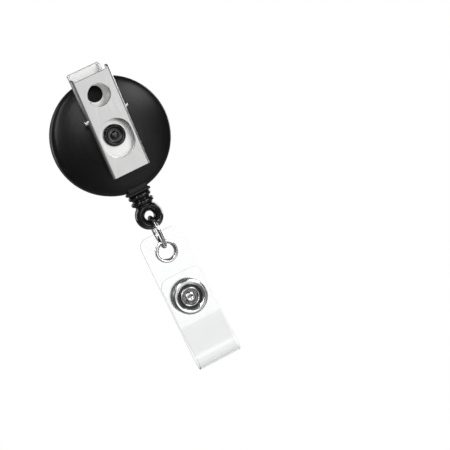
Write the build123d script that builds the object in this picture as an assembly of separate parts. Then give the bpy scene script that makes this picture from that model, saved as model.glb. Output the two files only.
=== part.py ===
from build123d import *
import math
import os

os.makedirs("parts", exist_ok=True)

# Frame: origin on the swivel axis at the clip base plate's grip face.
# +Y away from the case, towards the clip's jaw; -Z the way the cord is pulled.

# reel mid-plane, shared by nozzle, cord, bead, ring and strap
mid_y = -6.3

# case
case_r = 16.7
seam_y = -7.0
cavity_r = 15.5
dome_y = -1.2
rear_inner_y = -2.1
floor_y = -10.0
front_inner_y = -9.2
rim_y = -10.8
recess_r = 10.3
label_r = 9.85
label_t = 0.6
post_r = 2.0
post_top_y = -2.9
slot_w = 0.5

# nozzle
neck_half_x = 2.9
neck_half_y = 2.7
neck_top_z = -14.4
lip_half_x = 3.3
lip_half_y = 3.1
lip_top_z = -16.75
nozzle_end_z = -17.5
nozzle_bore_r = 0.8

# spool and cord
flange_r = 12.9
drum_r = 9.8
drum_wall = 0.8
spool_half = 1.8
spool_flange = 0.4
web_bore_r = 2.06
cord_r = 0.4
turn_pitch = 0.82
first_turn_r = 10.25
turn_layers = 3
turns_wide = 4
run_r = 12.75
spring_r_in = 2.35
spring_r_out = 8.7
spring_turns = 9
spring_t = 0.15
spring_y0 = -8.3
spring_w = 3.4

# clip
base_t = 0.7
base_half = 4.75
sheet_t = 0.6
base_end_z = 19.8
base_jaw_z = -10.65
base_flange_y = 1.5
sight_hole_z = 12.3
sight_hole_r = 2.3
pin_y = 3.4
pin_z = 6.1
pin_r = 0.6
pin_half = 6.5
ear_r = 1.0
run_gap = 0.05
jaw_slope = 15
jaw_in = 1.42
jaw_half = 5.5
jaw_lever_s = 11.75
jaw_tip_s = -16.95
jaw_hole_z = 11.6
oval_z = -0.9
jaw_hole_r = 3.2
oval_half_w = 4.5
oval_half_l = 5.6
rivet_r = 1.5
rivet_head_r = 3.05
rivet_head_y = 1.5
coil_r = 1.05
coil_wire_r = 0.2
coil_pitch = 0.6

# end fitting and ring
bead_z = -24.45
bead_r = 4.0
bead_hole_r = 1.3
bead_flare_r = 3.2
rib_r = 3.4
rib_round = 0.62
rib_zs = (-18.3, -20.15)
neck_r = 2.5
fitting_top_z = -17.6
fitting_bore_r = 0.5
knot_z = -21.65
knot_r = 0.95
wire_r = 0.575
ring_r = 4.5
ring_z = -29.615

# strap
strap_half = 6.35
strap_t = 0.5
grommet_z = -35.62
grommet_r_in = 2.2
grommet_barrel = 0.3
grommet_r_out = 3.3
strap_top_z = grommet_z + 5.8
snap_z = grommet_z - 14.0
fold_r = 2.75
fold_z = grommet_z - 33.8 + fold_r + strap_t / 2
snap_gap = 2.4
flap_end_z = snap_z + 7.3
corner_r = 2.6
snap_hole_r = 1.6
snap_r = 5.05


def turned(points, z=0.0):
    """Solid of revolution about Y from (radius, y) points."""
    face = make_face(Polyline(*points, close=True))
    return Pos(0, 0, z) * revolve(face, Axis.Y)


def across(radius, half, y, z):
    """Cylinder along X, centred on x = 0."""
    return Pos(0, y, z) * Rot(0, 90, 0) * Cylinder(radius, 2 * half)


def along_y(radius, y0, y1, z, x=0.0):
    """Cylinder along Y from y0 to y1."""
    return Pos(x, (y0 + y1) / 2, z) * Rot(90, 0, 0) * Cylinder(radius, y1 - y0)


def upright(radius, z0, z1):
    """Cylinder along Z on the cord's line."""
    return Pos(0, mid_y, (z0 + z1) / 2) * Cylinder(radius, z1 - z0)


def slab(x0, x1, y0, y1, z0, z1):
    """Box from its two corners."""
    centre = Pos((x0 + x1) / 2, (y0 + y1) / 2, (z0 + z1) / 2)
    return centre * Box(x1 - x0, y1 - y0, z1 - z0)


def rod(start, end, radius):
    """Round bar between two points."""
    return sweep(Plane(start, z_dir=Vector(*end) - Vector(*start)) * Circle(radius), Line(start, end))


def side_plate(points, x0, x1):
    """Plate in the YZ plane from (y, z) points, between two x values."""
    face = make_face(Polyline(*points, close=True))
    solid = extrude(Plane((x0, 0, 0), x_dir=(0, 1, 0), z_dir=(1, 0, 0)) * face, x1 - x0)
    return solid


def nozzle_cut():
    half_y = neck_half_y
    return slab(-neck_half_x, neck_half_x, mid_y - half_y, mid_y + half_y, -case_r - 1, -12)


def rear_shell():
    land = 4.2
    edge_y = -3.3
    edge_r = case_r - 1.6
    inner_edge_r = cavity_r - 0.9
    skin = dome_y - rear_inner_y
    lines = [
        Line((rivet_r, dome_y), (land, dome_y)),
        ThreePointArc((land, dome_y), (10.4, -1.95), (edge_r, edge_y)),
        ThreePointArc((edge_r, edge_y), (case_r - 0.45, -4.0), (case_r, -5.1)),
        Line((case_r, -5.1), (case_r, seam_y)),
        Line((case_r, seam_y), (cavity_r, seam_y)),
        Line((cavity_r, seam_y), (cavity_r, -5.1)),
        ThreePointArc((cavity_r, -5.1), (cavity_r - 0.25, -4.55), (inner_edge_r, edge_y - skin)),
        ThreePointArc((inner_edge_r, edge_y - skin), (10.0, -2.85), (land, rear_inner_y)),
        Line((land, rear_inner_y), (rivet_r, rear_inner_y)),
        Line((rivet_r, rear_inner_y), (rivet_r, dome_y)),
    ]
    shell = revolve(make_face(Wire(lines)), Axis.Y)
    return shell - nozzle_cut()


def front_shell():
    edge_y = -9.7
    bevel = 0.45
    lip = 0.35
    lines = [
        Line((0, floor_y), (recess_r, floor_y)),
        Line((recess_r, floor_y), (recess_r, rim_y + lip)),
        Line((recess_r, rim_y + lip), (recess_r + lip, rim_y)),
        ThreePointArc((recess_r + lip, rim_y), (13.8, -10.62), (case_r - 0.6, edge_y - bevel)),
        ThreePointArc((case_r - 0.6, edge_y - bevel), (case_r - 0.18, edge_y - 0.2), (case_r, edge_y + 0.3)),
        Line((case_r, edge_y + 0.3), (case_r, seam_y)),
        Line((case_r, seam_y), (cavity_r, seam_y)),
        Line((cavity_r, seam_y), (cavity_r, front_inner_y)),
        Line((cavity_r, front_inner_y), (0, front_inner_y)),
        Line((0, front_inner_y), (0, floor_y)),
    ]
    shell = revolve(make_face(Wire(lines)), Axis.Y)
    post = along_y(post_r, front_inner_y - 0.2, post_top_y, 0)
    slot = slab(-slot_w / 2, slot_w / 2, -8.6, post_top_y, -post_r - 1, 1.2)
    return shell - nozzle_cut() + (post - slot)


def label_disc():
    return along_y(label_r, floor_y - label_t, floor_y, 0)


def cord_guide():
    neck = slab(
        -neck_half_x, neck_half_x, mid_y - neck_half_y, mid_y + neck_half_y, lip_top_z, neck_top_z
    )
    lip = slab(
        -lip_half_x, lip_half_x, mid_y - lip_half_y, mid_y + lip_half_y, nozzle_end_z, lip_top_z
    )
    lip = fillet(lip.edges().filter_by(Axis.Z), 0.5)
    flare = Pos(0, mid_y, nozzle_end_z + 0.3) * Cone(nozzle_bore_r + 0.5, nozzle_bore_r, 0.6)
    mouth = Pos(0, mid_y, neck_top_z - 0.4) * Cone(nozzle_bore_r, nozzle_bore_r + 0.9, 0.8)
    bore = upright(nozzle_bore_r, nozzle_end_z, neck_top_z)
    return neck + lip - bore - flare - mouth


def spool():
    rear = mid_y + spool_half
    front = mid_y - spool_half
    inner = drum_r - drum_wall
    points = [
        (web_bore_r, rear + spool_flange),
        (flange_r, rear + spool_flange),
        (flange_r, rear),
        (drum_r, rear),
        (drum_r, front),
        (flange_r, front),
        (flange_r, front - spool_flange),
        (inner, front - spool_flange),
        (inner, rear),
        (web_bore_r, rear),
    ]
    return turned(points)


def cord_windings():
    turns = []
    for layer in range(turn_layers):
        for place in range(turns_wide):
            y = mid_y + turn_pitch * (place - (turns_wide - 1) / 2)
            turn = Torus(first_turn_r + layer * turn_pitch, cord_r - 0.005)
            turns.append(Pos(0, y, 0) * Rot(90, 0, 0) * turn)
    return Compound(children=turns)


def cord_inner_run():
    angle = math.acos(run_r / -neck_top_z)
    start = (-run_r * math.sin(angle), mid_y, -run_r * math.cos(angle))
    bend = (0, mid_y, neck_top_z)
    slanted = rod(start, bend, cord_r)
    straight = upright(cord_r, nozzle_end_z, neck_top_z)
    return slanted + straight + Pos(*bend) * Sphere(cord_r)


def power_spring():
    def spiral(offset):
        points = []
        for step in range(spring_turns * 16 + 1):
            share = step / (spring_turns * 16)
            angle = -math.pi / 2 + share * spring_turns * 2 * math.pi
            radius = spring_r_in + share * (spring_r_out - spring_r_in) + offset
            points.append((radius * math.cos(angle), radius * math.sin(angle)))
        return points

    inner = spiral(0)
    outer = spiral(spring_t)
    strip = make_face(
        Wire([Spline(*inner), Line(inner[-1], outer[-1]), Spline(*outer), Line(outer[0], inner[0])])
    )
    plane = Plane((0, spring_y0, 0), x_dir=(1, 0, 0), z_dir=(0, 1, 0))
    coil = extrude(plane * strip, spring_w)
    return coil


def base_plate():
    plate = slab(-base_half, base_half, -base_t, 0, base_jaw_z, base_end_z)
    plate = fillet(plate.edges().filter_by(Axis.Y), 0.5)
    profile = [
        (-base_t / 2, base_end_z - 0.5),
        (base_flange_y, base_end_z - 0.5),
        (base_flange_y, pin_z + 2.6),
        (pin_y, pin_z + ear_r),
        (pin_y, pin_z - ear_r),
        (base_flange_y, pin_z - 2.6),
        (base_flange_y, 0),
        (0.6, -6),
        (-base_t / 2, -8.6),
    ]
    body = plate
    for side in (-1, 1):
        low = min(side * base_half, side * (base_half - sheet_t))
        body += side_plate(profile, low, low + sheet_t)
        body += Pos(low + sheet_t / 2, pin_y, pin_z) * Rot(0, 90, 0) * Cylinder(ear_r, sheet_t)
    body -= across(pin_r, base_half + 1, pin_y, pin_z)
    body -= along_y(rivet_r + run_gap, -base_t, 1, 0)
    body -= along_y(sight_hole_r, -base_t, 1, sight_hole_z)
    return body


def jaw_frame():
    return Pos(0, pin_y, pin_z) * Rot(-jaw_slope, 0, 0)


def jaw_plate():
    outer = jaw_in + sheet_t
    tilt = math.radians(jaw_slope)
    rise = (jaw_in + sheet_t / 2) * math.sin(tilt)
    oval_s = (rise + oval_z - pin_z) / math.cos(tilt)
    small_s = (rise + jaw_hole_z - pin_z) / math.cos(tilt)
    plate = slab(-jaw_half, jaw_half, jaw_in, outer, jaw_tip_s, jaw_lever_s)
    oval = extrude(
        Plane((0, jaw_in - 1, oval_s), x_dir=(1, 0, 0), z_dir=(0, 1, 0))
        * SlotOverall(2 * oval_half_l, 2 * oval_half_w, rotation=90),
        3,
    )
    plate -= oval
    plate -= along_y(jaw_hole_r, jaw_in - 1, outer + 1, small_s)
    profile = [
        (outer, jaw_lever_s + 0.5),
        (-1.2, jaw_lever_s + 0.5),
        (-1.45, 1.8),
        (-1.45, -1.8),
        (-0.1, jaw_tip_s + 1.2),
        (outer, jaw_tip_s + 1.2),
    ]
    for side in (-1, 1):
        low = min(side * jaw_half, side * (jaw_half - sheet_t))
        plate += side_plate(profile, low, low + sheet_t)
    lip_half = jaw_half - sheet_t - 0.3
    plate += slab(-lip_half, lip_half, jaw_in - 0.32, jaw_in, jaw_tip_s, jaw_tip_s + 0.6)
    plate -= across(pin_r + run_gap, jaw_half + 1, 0, 0)
    return jaw_frame() * plate


def hinge_pin():
    return across(pin_r, pin_half, pin_y, pin_z)


def clip_spring():
    turns = 9
    start_angle = 215
    span = turns * 360 + (360 - jaw_slope - start_angle)
    height = coil_pitch * span / 360
    x0 = -height / 2
    helix = Helix(pitch=coil_pitch, height=height, radius=coil_r)
    section = Plane(helix @ 0, z_dir=helix % 0) * Circle(coil_wire_r)
    coil = sweep(section, path=helix, is_frenet=True)
    # the helix starts on local +X; turn its axis to X and its start to the start angle
    frame = Plane((x0, pin_y, pin_z), x_dir=(0, 1, 0), z_dir=(1, 0, 0))
    coil = frame * Rot(0, 0, start_angle) * coil
    low = math.radians(start_angle)
    high = math.radians(-jaw_slope)
    low_start = (x0, pin_y + coil_r * math.cos(low), pin_z + coil_r * math.sin(low))
    high_start = (-x0, pin_y + coil_r * math.cos(high), pin_z + coil_r * math.sin(high))
    low_leg = (low_start[1] - coil_wire_r - 0.08) / -math.sin(low)
    high_leg = 5.0
    low_end = (x0, low_start[1] + low_leg * math.sin(low), low_start[2] - low_leg * math.cos(low))
    high_end = (
        -x0,
        high_start[1] - high_leg * math.sin(high),
        high_start[2] + high_leg * math.cos(high),
    )
    legs = rod(low_start, low_end, coil_wire_r) + rod(high_start, high_end, coil_wire_r)
    return coil + legs


def rivet():
    tail = 0.6
    low = run_gap
    points = [
        (0, rear_inner_y - tail),
        (2.3, rear_inner_y - tail),
        (2.3, rear_inner_y),
        (rivet_r, rear_inner_y),
        (rivet_r, low),
        (rivet_head_r, low),
        (rivet_head_r, 0.9),
        (rivet_head_r - 0.25, rivet_head_y - 0.2),
        (rivet_head_r - 0.7, rivet_head_y),
        (rivet_head_r - 0.85, rivet_head_y - 0.1),
        (1.9, 0.75),
        (1.0, 0.75),
        (0.75, 1.1),
        (0, 1.25),
    ]
    return turned(points)


def washer():
    return along_y(4.0, dome_y + 0.02, -base_t, 0) - along_y(rivet_r + run_gap, dome_y, 0, 0)


def end_fitting():
    flare = bead_hole_r + bead_flare_r
    half = bead_flare_r
    waist = [
        Line((0, -half), (flare, -half)),
        ThreePointArc((flare, -half), (bead_hole_r, 0), (flare, half)),
        Line((flare, half), (0, half)),
        Line((0, half), (0, -half)),
    ]
    cut = revolve(make_face(Wire(waist)), Axis.Y)
    bead = Sphere(bead_r) & Box(2 * bead_r, 2 * half - 0.1, 2 * bead_r)
    body = Pos(0, mid_y, bead_z) * (bead - cut)
    body += upright(neck_r, bead_z + 2.6, fitting_top_z)
    for z in rib_zs:
        body += upright(rib_r - rib_round, z - rib_round, z + rib_round)
        body += Pos(0, mid_y, z) * Torus(rib_r - rib_round, rib_round)
    body -= upright(fitting_bore_r, knot_z, fitting_top_z + 0.5)
    body -= Pos(0, mid_y, knot_z) * Sphere(knot_r + 0.08)
    return body


def cord_lead():
    return upright(cord_r, knot_z + knot_r - 0.1, nozzle_end_z - 0.01)


def cord_knot():
    knot = Pos(0, mid_y, knot_z) * Sphere(knot_r)
    return knot - upright(cord_r, knot_z + knot_r - 0.1, knot_z + knot_r + 1)


def link_ring():
    return Pos(0, mid_y, ring_z) * Rot(0, 90, 0) * Torus(ring_r, wire_r)


def rounded_end(y, z_top, z_bottom):
    """Strip of the strap whose top corners are rounded."""
    strip = slab(-strap_half, strap_half, y - strap_t / 2, y + strap_t / 2, z_bottom, z_top)
    corners = strip.edges().filter_by(Axis.Y).group_by(Axis.Z)[-1]
    return fillet(corners, corner_r)


def strap_main():
    strip = rounded_end(mid_y, strap_top_z, fold_z)
    strip -= along_y(grommet_r_in + grommet_barrel, mid_y - 1, mid_y + 1, grommet_z)
    strip -= along_y(snap_hole_r, mid_y - 1, mid_y + 1, snap_z)
    return strip


def strap_fold():
    centre_y = mid_y + fold_r
    ring = across(fold_r + strap_t / 2, strap_half, centre_y, fold_z)
    ring -= across(fold_r - strap_t / 2, strap_half + 1, centre_y, fold_z)
    return ring - slab(-10, 10, centre_y - 5, centre_y + 5, fold_z, fold_z + 10)


def strap_flap():
    loop_y = mid_y + 2 * fold_r
    snap_y = mid_y + snap_gap
    knee_z = fold_z + 3.2
    level_z = snap_z - snap_r - 0.6
    half = strap_t / 2
    lean = math.atan2(loop_y - snap_y, level_z - knee_z)
    shift = half * math.tan(lean / 2)
    profile = [
        (loop_y - half, fold_z),
        (loop_y + half, fold_z),
        (loop_y + half, knee_z + shift),
        (snap_y + half, level_z + shift),
        (snap_y + half, snap_z),
        (snap_y - half, snap_z),
        (snap_y - half, level_z - shift),
        (loop_y - half, knee_z - shift),
    ]
    strip = side_plate(profile, -strap_half, strap_half)
    strip += rounded_end(snap_y, flap_end_z, snap_z)
    strip -= along_y(snap_hole_r, snap_y - 1, snap_y + 1, snap_z)
    return strip


def grommet():
    rear = mid_y + strap_t / 2
    front = mid_y - strap_t / 2 - 0.4
    points = [
        (grommet_r_in, front),
        (grommet_r_in + grommet_barrel, front),
        (grommet_r_in + grommet_barrel, rear),
        (grommet_r_out, rear),
        (grommet_r_out, rear + 0.2),
        (grommet_r_out - 0.3, rear + 0.42),
        (grommet_r_out - 0.7, rear + 0.42),
        (grommet_r_in, rear),
    ]
    return turned(points, grommet_z)


def grommet_washer():
    front = mid_y - strap_t / 2
    points = [
        (grommet_r_in + grommet_barrel, front),
        (grommet_r_in + grommet_barrel, front - 0.35),
        (grommet_r_out - 0.25, front - 0.35),
        (grommet_r_out, front - 0.15),
        (grommet_r_out, front),
    ]
    return turned(points, grommet_z)


def snap_post():
    """Front face of the snap: rolled ring, deep recess and a domed centre."""
    back = mid_y - strap_t / 2
    points = [
        (0, back + strap_t),
        (snap_hole_r, back + strap_t),
        (snap_hole_r, back),
        (snap_r, back),
        (snap_r, back - 0.6),
        (snap_r - 0.35, back - 1.0),
        (4.2, back - 1.1),
        (3.7, back - 0.8),
        (3.45, back - 0.3),
        (2.6, back - 0.3),
        (2.4, back - 0.75),
        (1.95, back - 0.75),
        (1.75, back - 0.5),
        (1.2, back - 0.75),
        (0, back - 0.9),
    ]
    return turned(points, snap_z)


def snap_stud():
    """Male half between the two layers, on the main length."""
    back = mid_y + strap_t / 2
    points = [
        (0, back),
        (4.4, back),
        (4.4, back + 0.3),
        (2.2, back + 0.3),
        (1.7, back + 0.45),
        (1.8, back + 1.1),
        (1.4, back + 1.4),
        (0, back + 1.5),
    ]
    return turned(points, snap_z)


def snap_socket():
    """Female half between the two layers, on the flap."""
    front = mid_y + snap_gap - strap_t / 2
    points = [
        (0, front),
        (4.4, front),
        (4.4, front - 0.35),
        (3.9, front - 1.1),
        (2.15, front - 1.1),
        (2.15, front - 0.3),
        (0, front - 0.3),
    ]
    return turned(points, snap_z)


def snap_cap():
    """Rear face of the snap: rolled ring, groove, mid ring and a dimpled centre."""
    back = mid_y + snap_gap + strap_t / 2
    points = [
        (0, back - strap_t),
        (snap_hole_r, back - strap_t),
        (snap_hole_r, back),
        (snap_r, back),
        (snap_r, back + 0.6),
        (snap_r - 0.35, back + 1.0),
        (4.1, back + 1.1),
        (3.5, back + 0.7),
        (3.3, back + 0.35),
        (2.75, back + 0.35),
        (2.65, back + 0.8),
        (2.3, back + 0.8),
        (2.1, back + 0.5),
        (1.4, back + 0.5),
        (1.25, back + 0.9),
        (0.8, back + 0.95),
        (0.3, back + 0.65),
        (0, back + 0.65),
    ]
    return turned(points, snap_z)


export_step(front_shell(), "parts/front_shell.step")
export_step(rear_shell(), "parts/rear_shell.step")
export_step(label_disc(), "parts/label_disc.step")
export_step(cord_guide(), "parts/cord_guide.step")
export_step(spool(), "parts/spool.step")
export_step(cord_windings(), "parts/cord_windings.step")
export_step(cord_inner_run(), "parts/cord_inner_run.step")
export_step(power_spring(), "parts/power_spring.step")
export_step(base_plate(), "parts/clip_base_plate.step")
export_step(jaw_plate(), "parts/clip_jaw_plate.step")
export_step(hinge_pin(), "parts/clip_hinge_pin.step")
export_step(clip_spring(), "parts/clip_spring.step")
export_step(rivet(), "parts/swivel_rivet.step")
export_step(washer(), "parts/swivel_washer.step")
export_step(end_fitting(), "parts/end_fitting.step")
export_step(cord_lead(), "parts/cord_lead.step")
export_step(cord_knot(), "parts/cord_knot.step")
export_step(link_ring(), "parts/link_ring.step")
export_step(strap_main(), "parts/strap_main.step")
export_step(strap_fold(), "parts/strap_fold.step")
export_step(strap_flap(), "parts/strap_flap.step")
export_step(grommet(), "parts/grommet.step")
export_step(grommet_washer(), "parts/grommet_washer.step")
export_step(snap_post(), "parts/snap_post.step")
export_step(snap_stud(), "parts/snap_stud.step")
export_step(snap_socket(), "parts/snap_socket.step")
export_step(snap_cap(), "parts/snap_cap.step")
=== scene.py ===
import math
import bpy
from mathutils import Matrix, Vector


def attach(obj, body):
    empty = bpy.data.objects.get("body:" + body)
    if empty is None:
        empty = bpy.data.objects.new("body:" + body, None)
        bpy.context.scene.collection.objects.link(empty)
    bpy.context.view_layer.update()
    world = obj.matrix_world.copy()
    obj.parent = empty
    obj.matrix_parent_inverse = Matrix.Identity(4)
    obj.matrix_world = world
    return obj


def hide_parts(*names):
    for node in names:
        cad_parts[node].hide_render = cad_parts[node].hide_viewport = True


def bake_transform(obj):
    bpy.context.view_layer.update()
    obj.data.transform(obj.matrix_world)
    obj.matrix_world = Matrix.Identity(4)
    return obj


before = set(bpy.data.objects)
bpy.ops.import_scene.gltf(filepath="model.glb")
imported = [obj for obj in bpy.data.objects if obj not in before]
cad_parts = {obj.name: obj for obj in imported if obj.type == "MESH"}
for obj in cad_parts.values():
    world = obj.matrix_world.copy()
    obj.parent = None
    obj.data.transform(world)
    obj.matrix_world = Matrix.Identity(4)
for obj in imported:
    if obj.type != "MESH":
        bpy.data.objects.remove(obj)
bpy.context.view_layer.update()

# everything is modelled in millimetres and brought to metres by settle()
midY = -6.3
beadZ = -24.45
ringZ = -29.615
grommetZ = -35.62
snapZ = -49.62
foldZ = -66.42
strapTop = grommetZ + 5.8
flapEnd = snapZ + 7.3
flapGap = 2.4
pinAt = (0.0, 3.4, 6.1)


def deselectAll():
    if bpy.context.object and bpy.context.object.mode != "OBJECT":
        bpy.ops.object.mode_set(mode="OBJECT")
    bpy.ops.object.select_all(action="DESELECT")


def pick(obj):
    deselectAll()
    obj.select_set(True)
    bpy.context.view_layer.objects.active = obj


def editAll(obj):
    pick(obj)
    bpy.ops.object.mode_set(mode="EDIT")
    bpy.ops.mesh.select_all(action="SELECT")


def leaveEdit():
    bpy.ops.object.mode_set(mode="OBJECT")


def applyModifier(obj, kind, **values):
    pick(obj)
    modifier = obj.modifiers.new(kind.lower(), kind)
    for key, value in values.items():
        setattr(modifier, key, value)
    bpy.ops.object.modifier_apply(modifier=modifier.name)


def combine(obj, other, operation="DIFFERENCE"):
    applyModifier(obj, "BOOLEAN", operation=operation, object=other, solver="EXACT")
    bpy.data.objects.remove(other)


def softened(points, radius, steps=4):
    # corners of an open line turned into small curves
    result = [points[0]]
    for before, here, after in zip(points, points[1:], points[2:]):
        here = Vector(here)
        back = Vector(before) - here
        ahead = Vector(after) - here
        reach = min(radius, back.length * 0.45, ahead.length * 0.45)
        start = here + back.normalized() * reach
        end = here + ahead.normalized() * reach
        for step in range(steps + 1):
            t = step / steps
            result.append(tuple(start * (1 - t) ** 2 + here * 2 * t * (1 - t) + end * t * t))
    result.append(points[-1])
    return result


def drawLine(name, points):
    # one vertex, extruded from point to point
    deselectAll()
    bpy.ops.mesh.primitive_plane_add(size=1)
    obj = bpy.context.object
    obj.name = name
    bpy.ops.object.mode_set(mode="EDIT")
    bpy.ops.mesh.select_all(action="SELECT")
    bpy.ops.mesh.merge(type="CENTER")
    bpy.ops.transform.translate(value=points[0])
    for start, end in zip(points, points[1:]):
        move = Vector(end) - Vector(start)
        bpy.ops.mesh.extrude_region_move(TRANSFORM_OT_translate={"value": move})
    leaveEdit()
    return obj


def turned(name, profile, centre=(0, 0, 0), axis="Y", soft=0.08, steps=96):
    # profile is (radius, place along the axis)
    cx, cy, cz = centre
    line = softened([(r, a, 0) for r, a in profile], soft)
    if axis == "Y":
        points = [(cx + r, cy + a, cz) for r, a, _ in line]
    elif axis == "Z":
        points = [(cx + r, cy, cz + a) for r, a, _ in line]
    else:
        points = [(cx + a, cy + r, cz) for r, a, _ in line]
    obj = drawLine(name, points)
    editAll(obj)
    direction = {"X": (1, 0, 0), "Y": (0, 1, 0), "Z": (0, 0, 1)}[axis]
    bpy.ops.mesh.spin(steps=steps, angle=2 * math.pi, center=centre, axis=direction)
    bpy.ops.mesh.select_all(action="SELECT")
    bpy.ops.mesh.remove_doubles(threshold=0.002)
    bpy.ops.mesh.normals_make_consistent(inside=False)
    leaveEdit()
    return obj


def cylinder(radius, depth, at, axis="Y", vertices=64):
    turn = {"X": (0, math.pi / 2, 0), "Y": (math.pi / 2, 0, 0), "Z": (0, 0, 0)}[axis]
    deselectAll()
    bpy.ops.mesh.primitive_cylinder_add(
        radius=radius, depth=depth, location=at, rotation=turn, vertices=vertices
    )
    return bpy.context.object


def block(low, high):
    deselectAll()
    centre = [(a + b) / 2 for a, b in zip(low, high)]
    bpy.ops.mesh.primitive_cube_add(size=1, location=centre)
    obj = bpy.context.object
    obj.scale = [b - a for a, b in zip(low, high)]
    bpy.ops.object.transform_apply(location=False, rotation=False, scale=True)
    return obj


def prism(points, halfWidth):
    # points are (y, z); the solid runs from -halfWidth to +halfWidth in x
    obj = drawLine("prism", [(-halfWidth, y, z) for y, z in points])
    editAll(obj)
    bpy.ops.mesh.edge_face_add()
    bpy.ops.mesh.extrude_region_move(TRANSFORM_OT_translate={"value": (2 * halfWidth, 0, 0)})
    bpy.ops.mesh.select_all(action="SELECT")
    bpy.ops.mesh.normals_make_consistent(inside=False)
    leaveEdit()
    return obj


def crisp(obj, width, segments=2, angle=35):
    applyModifier(
        obj,
        "BEVEL",
        width=width,
        segments=segments,
        limit_method="ANGLE",
        angle_limit=math.radians(angle),
    )


def settle(obj, body, material, *nodes, slot, smoothAngle=35):
    # to metres, place kept in the mesh, then onto its body
    pick(obj)
    bpy.ops.object.transform_apply(location=True, rotation=True, scale=True)
    obj.scale = (0.001, 0.001, 0.001)
    bpy.ops.object.transform_apply(location=True, rotation=True, scale=True)
    bpy.ops.object.shade_smooth_by_angle(angle=math.radians(smoothAngle))
    applyModifier(obj, "WEIGHTED_NORMAL", keep_sharp=True, weight=90)
    obj.data.materials.clear()
    obj.data.materials.append(material)
    if body:
        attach(obj, body)
    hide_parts(*nodes)
    print("made", obj.name, len(obj.data.polygons), "faces")
    return obj


def addGroup(name, inputs, outputs):
    group = bpy.data.node_groups.new(name, "ShaderNodeTree")
    for label, kind, value in inputs:
        socket = group.interface.new_socket(label, in_out="INPUT", socket_type=kind)
        if value is not None:
            socket.default_value = value
    for label, kind in outputs:
        group.interface.new_socket(label, in_out="OUTPUT", socket_type=kind)
    start = group.nodes.new("NodeGroupInput")
    end = group.nodes.new("NodeGroupOutput")
    return group, start, end


def calculate(nodes, links, operation, *values, clamp=False):
    # a Math node; each value is a number or a socket
    node = nodes.new("ShaderNodeMath")
    node.operation = operation
    node.use_clamp = clamp
    for socket, value in zip(node.inputs, values):
        if isinstance(value, (int, float)):
            socket.default_value = value
        else:
            links.new(value, socket)
    return node.outputs[0]


def makeGrain():
    # fine moulded or plated grain: a height and a roughness around a middle value
    group, start, end = addGroup(
        "fineGrain",
        [
            ("Vector", "NodeSocketVector", None),
            ("Scale", "NodeSocketFloat", 4000.0),
            ("Roughness", "NodeSocketFloat", 0.4),
            ("Spread", "NodeSocketFloat", 0.08),
        ],
        [("Height", "NodeSocketFloat"), ("Roughness", "NodeSocketFloat")],
    )
    nodes, links = group.nodes, group.links
    fine = nodes.new("ShaderNodeTexNoise")
    fine.inputs["Detail"].default_value = 3
    links.new(start.outputs["Vector"], fine.inputs["Vector"])
    links.new(start.outputs["Scale"], fine.inputs["Scale"])
    broad = nodes.new("ShaderNodeTexNoise")
    broad.inputs["Scale"].default_value = 260
    broad.inputs["Detail"].default_value = 2
    links.new(start.outputs["Vector"], broad.inputs["Vector"])
    centred = calculate(nodes, links, "SUBTRACT", broad.outputs["Fac"], 0.5)
    scaled = calculate(
        nodes, links, "MULTIPLY_ADD", centred, start.outputs["Spread"], start.outputs["Roughness"]
    )
    links.new(fine.outputs["Fac"], end.inputs["Height"])
    links.new(scaled, end.inputs["Roughness"])
    return group


def makePaintedEdgeSheen():
    # a mask of painted sheen on the sharp outer edges, broken up by noise
    group, start, end = addGroup(
        "paintedEdgeSheen",
        [("Vector", "NodeSocketVector", None), ("Amount", "NodeSocketFloat", 0.5)],
        [("Mask", "NodeSocketFloat")],
    )
    nodes, links = group.nodes, group.links
    geometry = nodes.new("ShaderNodeNewGeometry")
    ramp = nodes.new("ShaderNodeMapRange")
    ramp.inputs["From Min"].default_value = 0.52
    ramp.inputs["From Max"].default_value = 0.62
    links.new(geometry.outputs["Pointiness"], ramp.inputs["Value"])
    noise = nodes.new("ShaderNodeTexNoise")
    noise.inputs["Scale"].default_value = 900
    links.new(start.outputs["Vector"], noise.inputs["Vector"])
    broken = calculate(nodes, links, "MULTIPLY", ramp.outputs["Result"], noise.outputs["Fac"])
    mask = calculate(nodes, links, "MULTIPLY", broken, start.outputs["Amount"], clamp=True)
    links.new(mask, end.inputs["Mask"])
    return group


def makeScratches():
    # faint hair lines, drawn out along one direction
    group, start, end = addGroup(
        "hairLines",
        [("Vector", "NodeSocketVector", None), ("Density", "NodeSocketFloat", 900.0)],
        [("Lines", "NodeSocketFloat")],
    )
    nodes, links = group.nodes, group.links
    stretch = nodes.new("ShaderNodeMapping")
    stretch.inputs["Scale"].default_value = (1.0, 1.0, 0.05)
    stretch.inputs["Rotation"].default_value = (0.0, 0.15, 0.0)
    links.new(start.outputs["Vector"], stretch.inputs["Vector"])
    noise = nodes.new("ShaderNodeTexNoise")
    noise.inputs["Detail"].default_value = 4
    links.new(stretch.outputs["Vector"], noise.inputs["Vector"])
    links.new(start.outputs["Density"], noise.inputs["Scale"])
    ramp = nodes.new("ShaderNodeMapRange")
    ramp.inputs["From Min"].default_value = 0.45
    ramp.inputs["From Max"].default_value = 0.75
    links.new(noise.outputs["Fac"], ramp.inputs["Value"])
    links.new(ramp.outputs["Result"], end.inputs["Lines"])
    return group


grain = makeGrain()
paintedEdgeSheen = makePaintedEdgeSheen()
hairLines = makeScratches()


def newMaterial(name, centre=(0, 0, 0)):
    material = bpy.data.materials.new(name)
    material.use_nodes = True
    nodes, links = material.node_tree.nodes, material.node_tree.links
    shader = nodes["Principled BSDF"]
    place = nodes.new("ShaderNodeTexCoord")
    mapping = nodes.new("ShaderNodeMapping")
    mapping.inputs["Location"].default_value = [-c for c in centre]
    links.new(place.outputs["Object"], mapping.inputs["Vector"])
    return material, nodes, links, shader, mapping.outputs["Vector"]


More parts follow.
